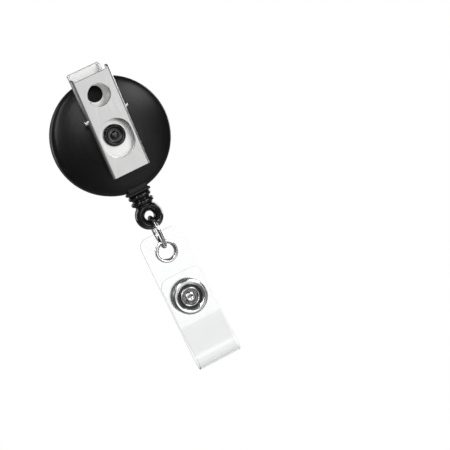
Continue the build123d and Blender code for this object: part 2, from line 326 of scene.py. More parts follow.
def useGroup(nodes, links, group, vector, **values):
    node = nodes.new("ShaderNodeGroup")
    node.node_tree = group
    links.new(vector, node.inputs["Vector"])
    for key, value in values.items():
        node.inputs[key].default_value = value
    return node


def bump(nodes, links, height, shader, strength, distance):
    node = nodes.new("ShaderNodeBump")
    node.inputs["Strength"].default_value = strength
    node.inputs["Distance"].default_value = distance
    links.new(height, node.inputs["Height"])
    links.new(node.outputs["Normal"], shader.inputs["Normal"])


def blendColours(nodes, links, mask, first, second):
    node = nodes.new("ShaderNodeMix")
    node.data_type = "RGBA"
    node.inputs["A"].default_value = (*first, 1)
    node.inputs["B"].default_value = (*second, 1)
    links.new(mask, node.inputs["Factor"])
    return node.outputs["Result"]


def plasticFinish(name, look):
    material, nodes, links, shader, vector = newMaterial(name)
    fine = useGroup(
        nodes, links, grain, vector, Scale=look["grain"], Roughness=look["rough"], Spread=look["spread"]
    )
    # the edge colour is a painted highlight, laid along sharp edges by the sheen mask
    sheenOnEdges = useGroup(nodes, links, paintedEdgeSheen, vector, Amount=look["sheenOnEdges"])
    colour = blendColours(nodes, links, sheenOnEdges.outputs["Mask"], look["colour"], look["edge"])
    links.new(colour, shader.inputs["Base Color"])
    links.new(fine.outputs["Roughness"], shader.inputs["Roughness"])
    shader.inputs["IOR"].default_value = look["ior"]
    shader.inputs["Specular IOR Level"].default_value = look["specular"]
    bump(nodes, links, fine.outputs["Height"], shader, look["bump"], 0.00002)
    return material


def metalFinish(name, look):
    material, nodes, links, shader, vector = newMaterial(name)
    fine = useGroup(
        nodes, links, grain, vector, Scale=look["grain"], Roughness=look["rough"], Spread=look["spread"]
    )
    lines = useGroup(nodes, links, hairLines, vector, Density=look["lines"])
    # the edge colour is a painted highlight, laid along sharp edges by the sheen mask
    sheenOnEdges = useGroup(nodes, links, paintedEdgeSheen, vector, Amount=look["sheenOnEdges"])
    colour = blendColours(nodes, links, fine.outputs["Height"], look["dark"], look["colour"])
    top = nodes.new("ShaderNodeMix")
    top.data_type = "RGBA"
    top.inputs["B"].default_value = (*look["edge"], 1)
    links.new(sheenOnEdges.outputs["Mask"], top.inputs["Factor"])
    links.new(colour, top.inputs["A"])
    links.new(top.outputs["Result"], shader.inputs["Base Color"])
    shader.inputs["Metallic"].default_value = 1.0
    rough = calculate(
        nodes, links, "MULTIPLY_ADD", lines.outputs["Lines"], look["lineRough"], fine.outputs["Roughness"]
    )
    links.new(rough, shader.inputs["Roughness"])
    bump(nodes, links, fine.outputs["Height"], shader, look["bump"], 0.00001)
    return material


def vinylFinish():
    look = {"colour": (0.925, 0.928, 0.93), "rough": 0.06, "ripple": 0.12}
    material, nodes, links, shader, vector = newMaterial("clearVinyl")
    shader.inputs["Base Color"].default_value = (*look["colour"], 1)
    shader.inputs["Transmission Weight"].default_value = 1.0
    shader.inputs["IOR"].default_value = 1.45
    fine = useGroup(nodes, links, grain, vector, Scale=350.0, Roughness=look["rough"], Spread=0.05)
    links.new(fine.outputs["Roughness"], shader.inputs["Roughness"])
    bump(nodes, links, fine.outputs["Height"], shader, look["ripple"], 0.00003)
    return material


def paintedLightSnapMetal(name, look):
    # a snap's face: painted highlights on the rolled edges, painted shade in the grooves and round the rim,
    # and one stippled ring whose dots are painted glints; places are radii in mm
    reach = look["paintedShades"][-1][0]
    material, nodes, links, shader, vector = newMaterial(name, (0, 0, snapZ / 1000))
    flat = nodes.new("ShaderNodeVectorMath")
    flat.operation = "MULTIPLY"
    flat.inputs[1].default_value = (1, 0, 1)
    links.new(vector, flat.inputs[0])
    radius = nodes.new("ShaderNodeVectorMath")
    radius.operation = "LENGTH"
    links.new(flat.outputs["Vector"], radius.inputs[0])
    share = calculate(nodes, links, "MULTIPLY", radius.outputs["Value"], 1000 / reach)
    litAndShadedBands = nodes.new("ShaderNodeValToRGB")
    stops = litAndShadedBands.color_ramp.elements
    stops[0].position, stops[0].color = 0.0, (look["paintedShades"][0][1],) * 3 + (1,)
    stops[1].position, stops[1].color = 1.0, (look["paintedShades"][-1][1],) * 3 + (1,)
    for place, shade in look["paintedShades"][1:-1]:
        stop = stops.new(place / reach)
        stop.color = (shade,) * 3 + (1,)
    links.new(share, litAndShadedBands.inputs["Fac"])
    cells = nodes.new("ShaderNodeTexVoronoi")
    cells.inputs["Scale"].default_value = look["cell"]
    links.new(vector, cells.inputs["Vector"])
    dots = nodes.new("ShaderNodeMapRange")
    dots.inputs["From Min"].default_value = 0.25
    dots.inputs["From Max"].default_value = 0.55
    dots.inputs["To Min"].default_value = look["pit"]
    dots.inputs["To Max"].default_value = 1.0
    links.new(cells.outputs["Distance"], dots.inputs["Value"])
    where = nodes.new("ShaderNodeValToRGB")
    marks = where.color_ramp.elements
    where.color_ramp.interpolation = "CONSTANT"
    marks[0].position, marks[0].color = 0.0, (0, 0, 0, 1)
    marks[1].position, marks[1].color = look["stipple"][0] / reach, (1, 1, 1, 1)
    marks.new(look["stipple"][1] / reach).color = (0, 0, 0, 1)
    links.new(share, where.inputs["Fac"])
    # the stipple's dots give a real relief in the bump and painted glints in the colour
    stippleAndGlints = nodes.new("ShaderNodeMix")
    stippleAndGlints.inputs["A"].default_value = 1.0
    links.new(where.outputs["Color"], stippleAndGlints.inputs["Factor"])
    links.new(dots.outputs["Result"], stippleAndGlints.inputs["B"])
    fine = useGroup(nodes, links, grain, vector, Scale=look["grain"], Roughness=look["rough"], Spread=0.05)
    colour = nodes.new("ShaderNodeMix")
    colour.data_type = "RGBA"
    colour.blend_type = "MULTIPLY"
    colour.inputs["Factor"].default_value = 1.0
    links.new(litAndShadedBands.outputs["Color"], colour.inputs["A"])
    links.new(stippleAndGlints.outputs["Result"], colour.inputs["B"])
    links.new(colour.outputs["Result"], shader.inputs["Base Color"])
    shader.inputs["Metallic"].default_value = 1.0
    links.new(fine.outputs["Roughness"], shader.inputs["Roughness"])
    bump(nodes, links, stippleAndGlints.outputs["Result"], shader, look["bump"], 0.00006)
    return material


caseBlack = plasticFinish(
    "satinBlackPlastic",
    {
        "colour": (0.0045, 0.0045, 0.0048),
        "edge": (0.03, 0.03, 0.031),
        "grain": 9000.0,
        "rough": 0.33,
        "spread": 0.05,
        "sheenOnEdges": 0.5,
        "ior": 1.5,
        "specular": 0.28,
        "bump": 0.12,
    },
)
beadBlack = plasticFinish(
    "glossBlackPlastic",
    {
        "colour": (0.008, 0.008, 0.009),
        "edge": (0.03, 0.03, 0.032),
        "grain": 3000.0,
        "rough": 0.16,
        "spread": 0.06,
        "sheenOnEdges": 0.3,
        "ior": 1.5,
        "specular": 0.5,
        "bump": 0.08,
    },
)
rivetBlack = plasticFinish(
    "blackenedRivet",
    {
        "colour": (0.008, 0.008, 0.008),
        "edge": (0.05, 0.05, 0.05),
        "grain": 5000.0,
        "rough": 0.28,
        "spread": 0.08,
        "sheenOnEdges": 0.5,
        "ior": 1.6,
        "specular": 0.6,
        "bump": 0.1,
    },
)
labelWhite = plasticFinish(
    "paleLabelCard",
    {
        "colour": (0.74, 0.74, 0.745),
        "edge": (0.95, 0.95, 0.95),
        "grain": 6000.0,
        "rough": 0.55,
        "spread": 0.1,
        "sheenOnEdges": 0.8,
        "ior": 1.45,
        "specular": 0.4,
        "bump": 0.15,
    },
)
spoolWhite = plasticFinish(
    "spoolPlastic",
    {
        "colour": (0.66, 0.65, 0.6),
        "edge": (0.75, 0.74, 0.7),
        "grain": 3000.0,
        "rough": 0.45,
        "spread": 0.1,
        "sheenOnEdges": 0.3,
        "ior": 1.5,
        "specular": 0.5,
        "bump": 0.1,
    },
)
cordBlack = plasticFinish(
    "braidedCord",
    {
        "colour": (0.012, 0.012, 0.012),
        "edge": (0.06, 0.06, 0.06),
        "grain": 7000.0,
        "rough": 0.62,
        "spread": 0.1,
        "sheenOnEdges": 0.4,
        "ior": 1.45,
        "specular": 0.4,
        "bump": 0.6,
    },
)
clipNickel = metalFinish(
    "clipNickel",
    {
        "colour": (0.86, 0.86, 0.855),
        "dark": (0.74, 0.74, 0.735),
        "edge": (0.95, 0.95, 0.94),
        "grain": 5200.0,
        "rough": 0.3,
        "spread": 0.08,
        "lines": 700.0,
        "lineRough": 0.06,
        "sheenOnEdges": 0.8,
        "bump": 0.35,
    },
)
ringNickel = metalFinish(
    "ringNickel",
    {
        "colour": (0.66, 0.655, 0.65),
        "dark": (0.5, 0.5, 0.49),
        "edge": (0.85, 0.85, 0.84),
        "grain": 2600.0,
        "rough": 0.16,
        "spread": 0.1,
        "lines": 900.0,
        "lineRough": 0.1,
        "sheenOnEdges": 0.4,
        "bump": 0.3,
    },
)
snapNickel = metalFinish(
    "snapNickel",
    {
        "colour": (0.8, 0.8, 0.79),
        "dark": (0.68, 0.68, 0.67),
        "edge": (0.95, 0.95, 0.94),
        "grain": 3500.0,
        "rough": 0.12,
        "spread": 0.06,
        "lines": 1200.0,
        "lineRough": 0.06,
        "sheenOnEdges": 0.5,
        "bump": 0.15,
    },
)
springSteel = metalFinish(
    "springSteel",
    {
        "colour": (0.5, 0.5, 0.51),
        "dark": (0.38, 0.38, 0.39),
        "edge": (0.7, 0.7, 0.7),
        "grain": 3500.0,
        "rough": 0.25,
        "spread": 0.1,
        "lines": 1500.0,
        "lineRough": 0.1,
        "sheenOnEdges": 0.4,
        "bump": 0.2,
    },
)
# the shades below are painted light: bright on the rolled edges, dark in the grooves and the stippled ring
snapRear = paintedLightSnapMetal(
    "snapRearNickel",
    {
        "paintedShades": [
            (0.0, 0.25), (0.35, 0.35), (0.55, 0.8), (1.2, 0.85), (1.35, 0.75), (1.48, 0.1), (2.3, 0.12),
            (2.42, 0.75), (2.7, 0.8), (2.85, 0.04), (3.4, 0.04), (3.6, 0.7), (4.0, 0.85), (4.7, 0.8),
            (4.95, 0.25), (5.2, 0.12),
        ],
        "stipple": (1.45, 2.4),
        "cell": 3300.0,
        "pit": 5.0,
        "grain": 3500.0,
        "rough": 0.16,
        "bump": 0.6,
    },
)
# the shades below are painted light: bright on the rolled edges, dark in the grooves
snapFront = paintedLightSnapMetal(
    "snapFrontNickel",
    {
        "paintedShades": [
            (0.0, 0.45), (1.5, 0.42), (1.75, 0.12), (1.95, 0.7), (2.2, 0.9), (2.6, 0.75), (2.8, 0.05),
            (3.4, 0.05), (3.6, 0.6), (4.0, 0.85), (4.7, 0.8), (4.95, 0.25), (5.2, 0.12),
        ],
        "stipple": (2.75, 3.45),
        "cell": 2600.0,
        "pit": 2.5,
        "grain": 3500.0,
        "rough": 0.16,
        "bump": 0.3,
    },
)
clearVinyl = vinylFinish()
print("materials ready")


def nozzleOpening():
    # both shells leave this room for the nozzle's neck
    return block((-2.9, -9.0, -18), (2.9, -3.6, -12))


def makeFrontRing():
    ring = {
        "profile": [
            (0.0, -9.2), (0.0, -10.0), (10.3, -10.0), (10.3, -10.45), (10.65, -10.8),
            (12.2, -10.76), (13.8, -10.62), (15.1, -10.4), (16.1, -10.13), (16.52, -9.88),
            (16.7, -9.4), (16.7, -7.14), (16.52, -7.0), (15.5, -7.0), (15.5, -9.2), (0.0, -9.2),
        ],
        "soft": 0.12,
    }
    obj = turned("frontRing", ring["profile"], soft=ring["soft"], steps=160)
    combine(obj, nozzleOpening())
    # slotted post that holds the power spring's inner end
    post = cylinder(2.0, 6.4, (0, -6.1, 0))
    combine(post, block((-0.25, -8.6, -3), (0.25, -2.5, 1.2)))
    combine(obj, post, "UNION")
    return settle(obj, "case", caseBlack, "front_shell", slot="case_black")


def makeRearShell():
    shell = {
        "profile": [
            (1.5, -1.2), (4.2, -1.2), (6.2, -1.3), (8.3, -1.55), (10.4, -1.95), (12.2, -2.37), (13.7, -2.8),
            (15.0, -3.3), (15.72, -3.66), (16.25, -4.1), (16.58, -4.6), (16.7, -5.2), (16.7, -6.86),
            (16.52, -7.0), (15.5, -7.0), (15.5, -5.1), (15.25, -4.55), (14.6, -4.2), (10.0, -2.85),
            (4.2, -2.1), (1.5, -2.1), (1.5, -1.2),
        ],
        "soft": 0.35,
    }
    obj = turned("rearShell", shell["profile"], soft=shell["soft"], steps=160)
    combine(obj, nozzleOpening())
    return settle(obj, "case", caseBlack, "rear_shell", slot="case_black")


def makeLabel():
    label = {
        "profile": [(0.0, -10.0), (9.85, -10.0), (9.85, -10.5), (9.74, -10.6), (0.0, -10.6)],
        "soft": 0.08,
    }
    obj = turned("labelDisc", label["profile"], soft=label["soft"], steps=128)
    return settle(obj, "case", labelWhite, "label_disc", slot="label_white")


def makeNozzle():
    nozzle = {"neck": (2.9, 2.7), "neckZ": (-16.9, -14.4), "lip": (3.3, 3.1), "lipZ": (-17.5, -16.75)}
    nx, ny = nozzle["neck"]
    lx, ly = nozzle["lip"]
    obj = block((-nx, midY - ny, nozzle["neckZ"][0]), (nx, midY + ny, nozzle["neckZ"][1]))
    obj.name = "cordNozzle"
    lip = block((-lx, midY - ly, nozzle["lipZ"][0]), (lx, midY + ly, nozzle["lipZ"][1]))
    crisp(lip, 0.25, 3)
    crisp(obj, 0.3, 3)
    combine(obj, lip, "UNION")
    bore = turned(
        "bore",
        [(0, -18), (1.5, -18), (1.25, -17.5), (0.8, -16.9), (0.8, -15.2), (1.7, -14.4), (1.7, -14), (0, -14)],
        centre=(0, midY, 0), axis="Z", soft=0.3, steps=48,
    )
    combine(obj, bore)
    return settle(obj, "case", caseBlack, "cord_guide", slot="case_black")


def makeRivet():
    rivet = {
        "profile": [
            (0.0, -2.7), (2.3, -2.7), (2.3, -2.1), (1.5, -2.1), (1.5, 0.05), (2.95, 0.05), (3.05, 0.3),
            (3.05, 0.9), (2.85, 1.28), (2.5, 1.5), (2.3, 1.44), (2.15, 1.1), (1.9, 0.78), (1.3, 0.72),
            (1.05, 0.8), (0.8, 1.1), (0.4, 1.22), (0.0, 1.25),
        ],
        "soft": 0.15,
    }
    obj = turned("swivelRivet", rivet["profile"], soft=rivet["soft"], steps=96)
    return settle(obj, "case", rivetBlack, "swivel_rivet", slot="rivet_black")


def channel(name, halfWidth, top, bottom, thickness, s0, s1, bend):
    # a sheet bent down along both sides, running in z
    t = thickness / 2
    line = [
        (-halfWidth + t, bottom, 0), (-halfWidth + t, top - t, 0), (halfWidth - t, top - t, 0),
        (halfWidth - t, bottom, 0),
    ]
    points = [(x, y, s0) for x, y, _ in softened(line, bend, 5)]
    obj = drawLine(name, points)
    editAll(obj)
    bpy.ops.mesh.extrude_region_move(TRANSFORM_OT_translate={"value": (0, 0, s1 - s0)})
    bpy.ops.mesh.select_all(action="SELECT")
    bpy.ops.mesh.normals_make_consistent(inside=False)
    leaveEdit()
    applyModifier(obj, "SOLIDIFY", thickness=thickness, offset=0, use_even_offset=True)
    return obj


def ovalCutter(halfWidth, halfLength, y0, y1, z):
    # two round ends and the straight sides between them
    straight = halfLength - halfWidth
    obj = cylinder(halfWidth, y1 - y0, (0, (y0 + y1) / 2, z), vertices=96)
    editAll(obj)
    bpy.ops.object.mode_set(mode="OBJECT")
    for vertex in obj.data.vertices:
        world = obj.matrix_world @ vertex.co
        shift = straight if world.z > z else -straight
        vertex.co = obj.matrix_world.inverted() @ (world + Vector((0, 0, shift)))
    return obj


def makeJaw():
    jaw = {
        "halfWidth": 5.5, "sheet": 0.6, "inner": 1.42, "tip": -16.95, "lever": 11.75, "bend": 0.42,
        "smallHole": 3.2, "smallHoleZ": 11.6, "oval": (4.5, 5.6), "ovalZ": -0.9, "edge": 0.06, "slope": 15,
    }
    outer = jaw["inner"] + jaw["sheet"]
    tip, lever = jaw["tip"], jaw["lever"]
    slope = math.radians(jaw["slope"])
    rise = (jaw["inner"] + jaw["sheet"] / 2) * math.sin(slope)
    ovalAt = (rise + jaw["ovalZ"] - pinAt[2]) / math.cos(slope)
    smallAt = (rise + jaw["smallHoleZ"] - pinAt[2]) / math.cos(slope)
    obj = channel("jawLever", jaw["halfWidth"], outer, -1.6, jaw["sheet"], tip, lever + 0.5, jaw["bend"])
    sides = prism(
        [
            (outer + 1, tip - 1), (jaw["inner"] - 0.03, tip - 1), (jaw["inner"] - 0.03, tip + 1.2),
            (-0.1, tip + 1.25), (-1.45, -1.8), (-1.45, 1.8), (-1.2, lever + 0.2), (-0.9, lever + 0.5),
            (outer + 1, lever + 0.5),
        ],
        8,
    )
    combine(obj, sides, "INTERSECT")
    inside = jaw["halfWidth"] - jaw["sheet"] - 0.2
    combine(obj, block((-inside, 0.4, lever), (inside, 3, lever + 2)))
    lip = block((-inside, jaw["inner"] - 0.32, tip), (inside, jaw["inner"] + 0.2, tip + 0.6))
    crisp(lip, 0.12, 2)
    combine(obj, lip, "UNION")
    combine(obj, cylinder(jaw["smallHole"], 4, (0, outer, smallAt), vertices=96))
    combine(obj, ovalCutter(*jaw["oval"], 0.2, 4, ovalAt))
    combine(obj, cylinder(0.65, 20, (0, 0, 0), axis="X", vertices=48))
    crisp(obj, jaw["edge"], 2, 40)
    obj.rotation_euler = (-slope, 0, 0)
    obj.location = pinAt
    return settle(obj, "jaw", clipNickel, "clip_jaw_plate", slot="clip_nickel")


def makeBase():
    base = {"halfWidth": 4.75, "sheet": 0.6, "bend": 0.5, "edge": 0.06, "thick": 0.7}
    ear = []
    for step in range(13):
        angle = math.radians(step * 15)
        ear.append((pinAt[1] + math.sin(angle), pinAt[2] + math.cos(angle)))
    obj = channel("baseplate", base["halfWidth"], 0.0, 5.2, base["sheet"], -8.6, 19.3, base["bend"])
    # the channel opens towards +Y, so its sides were drawn upwards
    editAll(obj)
    bpy.ops.transform.translate(value=(0, -0.1, 0))
    leaveEdit()
    sides = prism(
        [
            (-2, -8.6), (0.0, -8.6), (0.6, -6.0), (1.5, 0.0), (1.5, 3.5), *reversed(ear), (1.5, 8.7),
            (1.5, 18.8), (1.2, 19.3), (-2, 19.3),
        ],
        8,
    )
    combine(obj, sides, "INTERSECT")
    plate = block((-base["halfWidth"], -base["thick"], -10.65), (base["halfWidth"], 0, 19.8))
    crisp(plate, 0.25, 3, 60)
    combine(obj, plate, "UNION")
    combine(obj, cylinder(1.55, 4, (0, -0.5, 0), vertices=64))
    combine(obj, cylinder(2.3, 4, (0, -0.5, 12.3), vertices=80))
    combine(obj, cylinder(0.6, 20, (0, pinAt[1], pinAt[2]), axis="X", vertices=48))
    crisp(obj, base["edge"], 2, 40)
    return settle(obj, "clip", clipNickel, "clip_base_plate", slot="clip_nickel")


def makePin():
    pin = {
        "profile": [(0, -6.5), (0.42, -6.5), (0.6, -6.3), (0.6, 6.3), (0.42, 6.5), (0, 6.5)],
        "soft": 0.1,
    }
    obj = turned("hingePin", pin["profile"], centre=pinAt, axis="X", soft=pin["soft"], steps=40)
    return settle(obj, "clip", snapNickel, "clip_hinge_pin", slot="clip_nickel")


def makeSpring():
    # coil round the pin; one leg rests on the base plate, the other follows the jaw
    spring = {
        "radius": 1.05, "wire": 0.2, "pitch": 0.6, "startAngle": 215, "endAngle": 3585, "step": 15,
        "lowLeg": 3.9, "highLeg": 5.0,
    }
    first, last = spring["startAngle"], spring["endAngle"]
    half = spring["pitch"] * (last - first) / 720

    def onCoil(degrees):
        angle = math.radians(degrees)
        return (
            -half + spring["pitch"] * (degrees - first) / 360,
            pinAt[1] + spring["radius"] * math.cos(angle),
            pinAt[2] + spring["radius"] * math.sin(angle),
        )

    steps = range(first, last - spring["step"], spring["step"])
    points = [onCoil(degrees) for degrees in steps] + [onCoil(last)]
    low, high = math.radians(first), math.radians(last)
    x, y, z = points[0]
    points.insert(0, (x, y + spring["lowLeg"] * math.sin(low), z - spring["lowLeg"] * math.cos(low)))
    x, y, z = points[-1]
    points.append((x, y - spring["highLeg"] * math.sin(high), z + spring["highLeg"] * math.cos(high)))
    obj = drawLine("torsionSpring", points)
    pick(obj)
    bpy.ops.object.convert(target="CURVE")
    obj = bpy.context.object
    obj.data.bevel_depth = spring["wire"]
    obj.data.bevel_resolution = 3
    obj.data.use_fill_caps = True
    bpy.ops.object.convert(target="MESH")
    obj = settle(
        bpy.context.object, None, springSteel, "clip_spring", smoothAngle=60, slot="spring_steel"
    )
    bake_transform(obj)
    return obj


def makeWasher():
    washer = {
        "profile": [
            (1.55, -1.18), (3.9, -1.18), (4.0, -1.1), (4.0, -0.78), (3.9, -0.7), (1.55, -0.7),
            (1.55, -1.18),
        ],
    }
    obj = turned("swivelWasher", washer["profile"], soft=0.05, steps=80)
    return settle(obj, "clip", clipNickel, "swivel_washer", slot="clip_nickel")


def makeBead():
    bead = {
        "ball": 4.0, "hole": 1.3, "flare": 3.2, "rib": 3.4, "ribRound": 0.62, "ribs": (-18.3, -20.15),
        "neck": 2.5, "voxel": 0.11,
    }
    low = beadZ
    ball = []
    for step in range(29):
        angle = math.radians(-90 + step * 145 / 28)
        ball.append((bead["ball"] * math.cos(angle), low + bead["ball"] * math.sin(angle)))
    line = [(max(r, 0.0), z) for r, z in ball]
    line.append((bead["neck"], -21.2))
    for rib in reversed(bead["ribs"]):
        for step in range(9):
            angle = math.radians(-90 + step * 22.5)
            bulge = bead["ribRound"]
            line.append((bead["rib"] - bulge + bulge * math.cos(angle), rib + bulge * math.sin(angle)))
        line.append((bead["neck"], rib + 0.7))
    line[-1] = (bead["neck"], -17.6)
    line.append((0.0, -17.6))
    obj = turned("ribbedBead", line, centre=(0, midY, 0), axis="Z", soft=0.06, steps=96)
    # flared cross hole for the ring
    edge = bead["hole"] + bead["flare"]
    waist = [(0.0, -5.0), (edge, -5.0)]
    for step in range(17):
        angle = math.radians(-90 + step * 180 / 16)
        waist.append((edge - bead["flare"] * math.cos(angle), bead["flare"] * math.sin(angle)))
    waist += [(edge, 5.0), (0.0, 5.0)]
    cutter = turned("waist", waist, centre=(0, midY, low), axis="Y", soft=0.01, steps=96)
    # only the ball is dished: the ribs keep their full round
    combine(cutter, block((-6, -12, low - 6), (6, 0, low + 3.2)), "INTERSECT")
    combine(obj, cutter)
    combine(obj, cylinder(0.5, 6, (0, midY, -18.6), axis="Z", vertices=32))
    applyModifier(obj, "REMESH", mode="VOXEL", voxel_size=bead["voxel"])
    applyModifier(obj, "SMOOTH", factor=0.5, iterations=5)
    return settle(obj, "fitting", beadBlack, "end_fitting", smoothAngle=80, slot="fitting_black")


def makeRing():
    ring = {"radius": 4.5, "wire": 0.575, "jointAngle": 250, "groove": 0.9}
    deselectAll()
    bpy.ops.mesh.primitive_torus_add(
        major_radius=ring["radius"], minor_radius=ring["wire"], major_segments=144, minor_segments=24,
        location=(0, midY, ringZ), rotation=(0, math.pi / 2, 0),
    )
    obj = bpy.context.object
    obj.name = "linkRing"
    bpy.ops.object.transform_apply(location=True, rotation=True, scale=True)
    editAll(obj)
    bpy.ops.mesh.select_all(action="DESELECT")
    leaveEdit()
    # butt joint of the bent wire: one loop drawn in to a fine groove
    at = math.radians(ring["jointAngle"])
    centre = Vector((0, midY + ring["radius"] * math.cos(at), ringZ + ring["radius"] * math.sin(at)))
    for vertex in obj.data.vertices:
        angle = math.atan2(vertex.co.z - ringZ, vertex.co.y - midY)
        away = math.degrees(angle - at) % 360
        vertex.select = min(away, 360 - away) < 0.7
    bpy.ops.object.mode_set(mode="EDIT")
    bpy.ops.transform.resize(value=(ring["groove"],) * 3, center_override=centre)
    leaveEdit()
    return settle(obj, "ring", ringNickel, "link_ring", smoothAngle=60, slot="ring_nickel")


def makeCordLead():
    cord = {"radius": 0.4, "top": -17.3, "bottom": -20.8, "rings": 60}
    middle = (cord["top"] + cord["bottom"]) / 2
    obj = cylinder(cord["radius"], cord["top"] - cord["bottom"], (0, midY, middle), "Z", 24)
    obj.name = "cordLead"
    editAll(obj)
    for step in range(1, cord["rings"]):
        bpy.ops.mesh.select_all(action="SELECT")
        z = cord["top"] - 0.7 * step / cord["rings"]
        bpy.ops.mesh.bisect(plane_co=(0, midY, z), plane_no=(0, 0, 1))
    leaveEdit()
    return settle(obj, None, cordBlack, "cord_lead", smoothAngle=50, slot="cord_black")


def strapPath():
    # side line of the strap from the ring end, round the fold, up to the flap's end
    foldR = 2.75
    points = [(midY, strapTop)]
    for step in range(1, 30):
        points.append((midY, strapTop + (foldZ - strapTop) * step / 30))
    for step in range(25):
        angle = math.radians(180 + step * 7.5)
        points.append((midY + foldR + foldR * math.cos(angle), foldZ + foldR * math.sin(angle)))
    level = snapZ - 5.6
    for step in range(1, 25):
        t = step / 24
        ease = t * t * (3 - 2 * t)
        points.append((midY + 2 * foldR - (2 * foldR - flapGap) * ease, foldZ + (level - foldZ) * t))
    for step in range(1, 13):
        points.append((midY + flapGap, level + (flapEnd - level) * step / 12))
    return points


def makeStrap():
    strap = {"halfWidth": 6.35, "thick": 0.5, "corner": 2.6, "grommetHole": 2.5, "snapHole": 1.6}
    obj = drawLine("clearStrap", [(-strap["halfWidth"], y, z) for y, z in strapPath()])
    editAll(obj)
    bpy.ops.mesh.extrude_region_move(TRANSFORM_OT_translate={"value": (2 * strap["halfWidth"], 0, 0)})
    leaveEdit()
    applyModifier(obj, "SOLIDIFY", thickness=strap["thick"], offset=0, use_even_offset=True)
    # rounded corners at both ends
    for y, z in ((midY, strapTop), (midY + flapGap, flapEnd)):
        for side in (-1, 1):
            corner = strap["corner"]
            x = side * (strap["halfWidth"] - corner)
            cutter = block((min(x, side * 8), y - 1, z - corner), (max(x, side * 8), y + 1, z + 1))
            combine(cutter, cylinder(corner, 4, (x, y, z - corner), vertices=64))
            combine(obj, cutter)
    combine(obj, cylinder(strap["grommetHole"], 1.6, (0, midY, grommetZ), vertices=80))
    combine(obj, cylinder(strap["snapHole"], 6, (0, midY + 1.2, snapZ), vertices=48))
    editAll(obj)
    bpy.ops.mesh.normals_make_consistent(inside=False)
    leaveEdit()
    crisp(obj, 0.06, 2, 50)
    return settle(
        obj, None, clearVinyl, "strap_main", "strap_fold", "strap_flap", smoothAngle=30, slot="vinyl_clear"
    )


def makeGrommet():
    rear = midY + 0.25
    front = midY - 0.65
    profile = [
        (2.2, front), (2.5, front), (2.5, rear), (3.2, rear), (3.3, rear + 0.12), (3.22, rear + 0.32),
        (2.95, rear + 0.42), (2.6, rear + 0.38), (2.3, rear + 0.1), (2.2, rear - 0.15), (2.2, front),
    ]
    obj = turned("grommetEyelet", profile, centre=(0, 0, grommetZ), soft=0.08, steps=80)
    return settle(obj, "strap", snapNickel, "grommet", slot="snap_nickel")


def makeGrommetWasher():
    front = midY - 0.25
    profile = [
        (2.5, front), (2.5, front - 0.33), (2.7, front - 0.35), (3.05, front - 0.3), (3.3, front - 0.12),
        (3.3, front), (2.5, front),
    ]
    obj = turned("grommetWasher", profile, centre=(0, 0, grommetZ), soft=0.05, steps=80)
    return settle(obj, "strap", snapNickel, "grommet_washer", slot="snap_nickel")


def makeSnapFront():
    back = midY - 0.25
    profile = [
        (0.0, back + 0.5), (1.6, back + 0.5), (1.6, back), (4.95, back), (5.05, back - 0.15),
        (5.05, back - 0.55), (4.85, back - 0.9), (4.4, back - 1.08), (3.95, back - 1.0), (3.65, back - 0.7),
        (3.5, back - 0.3), (2.7, back - 0.3), (2.5, back - 0.7), (2.2, back - 0.78), (1.95, back - 0.7),
        (1.8, back - 0.5), (1.5, back - 0.72), (0.9, back - 0.86), (0.0, back - 0.9),
    ]
    obj = turned("snapFront", profile, centre=(0, 0, snapZ), soft=0.1, steps=96)
    # the splayed end of the eyelet has six lobes
    for vertex in obj.data.vertices:
        x, z = vertex.co.x, vertex.co.z - snapZ
        radius = math.hypot(x, z)
        if 1.9 < radius < 3.0 and vertex.co.y < back - 0.25:
            swell = 1 + 0.07 * math.cos(6 * math.atan2(z, x)) * (1 - abs(radius - 2.45) / 0.6)
            vertex.co.x, vertex.co.z = x * swell, snapZ + z * swell
    return settle(obj, "strap", snapFront, "snap_post", slot="snap_nickel")


def makeSnapRear():
    back = midY + flapGap + 0.25
    profile = [
        (0.0, back - 0.5), (1.6, back - 0.5), (1.6, back), (4.95, back), (5.05, back + 0.15),
        (5.05, back + 0.55), (4.85, back + 0.9), (4.4, back + 1.08), (3.9, back + 1.0), (3.55, back + 0.7),
        (3.35, back + 0.35), (2.8, back + 0.35), (2.68, back + 0.7), (2.5, back + 0.82), (2.35, back + 0.7),
        (2.2, back + 0.5), (1.4, back + 0.5), (1.28, back + 0.8), (1.0, back + 0.95), (0.7, back + 0.9),
        (0.35, back + 0.66), (0.0, back + 0.6),
    ]
    obj = turned("snapRear", profile, centre=(0, 0, snapZ), soft=0.1, steps=96)
    return settle(obj, "flap", snapRear, "snap_cap", slot="snap_nickel")


def makeSnapStud():
    back = midY + 0.25
    profile = [
        (0.0, back), (4.35, back), (4.4, back + 0.15), (4.3, back + 0.3), (2.2, back + 0.3),
        (1.72, back + 0.45), (1.8, back + 0.95), (1.7, back + 1.25), (1.3, back + 1.45), (0.0, back + 1.5),
    ]
    obj = turned("snapStud", profile, centre=(0, 0, snapZ), soft=0.1, steps=80)
    return settle(obj, "strap", snapNickel, "snap_stud", slot="snap_nickel")


def makeSnapSocket():
    front = midY + flapGap - 0.25
    profile = [
        (0.0, front), (4.35, front), (4.4, front - 0.2), (4.2, front - 0.7), (3.8, front - 1.1),
        (2.4, front - 1.1), (2.15, front - 0.95), (2.15, front - 0.3), (0.0, front - 0.3),
    ]
    obj = turned("snapSocket", profile, centre=(0, 0, snapZ), soft=0.1, steps=80)
    return settle(obj, "flap", snapNickel, "snap_socket", slot="snap_nickel")


makeFrontRing()
makeRearShell()
makeLabel()
makeNozzle()
makeRivet()
makeJaw()
makeBase()
makePin()
makeSpring()
makeWasher()
makeBead()
makeRing()
lead = makeCordLead()
strap = makeStrap()
makeGrommet()
makeGrommetWasher()
makeSnapFront()
makeSnapRear()
makeSnapStud()
makeSnapSocket()
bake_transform(lead)
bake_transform(strap)

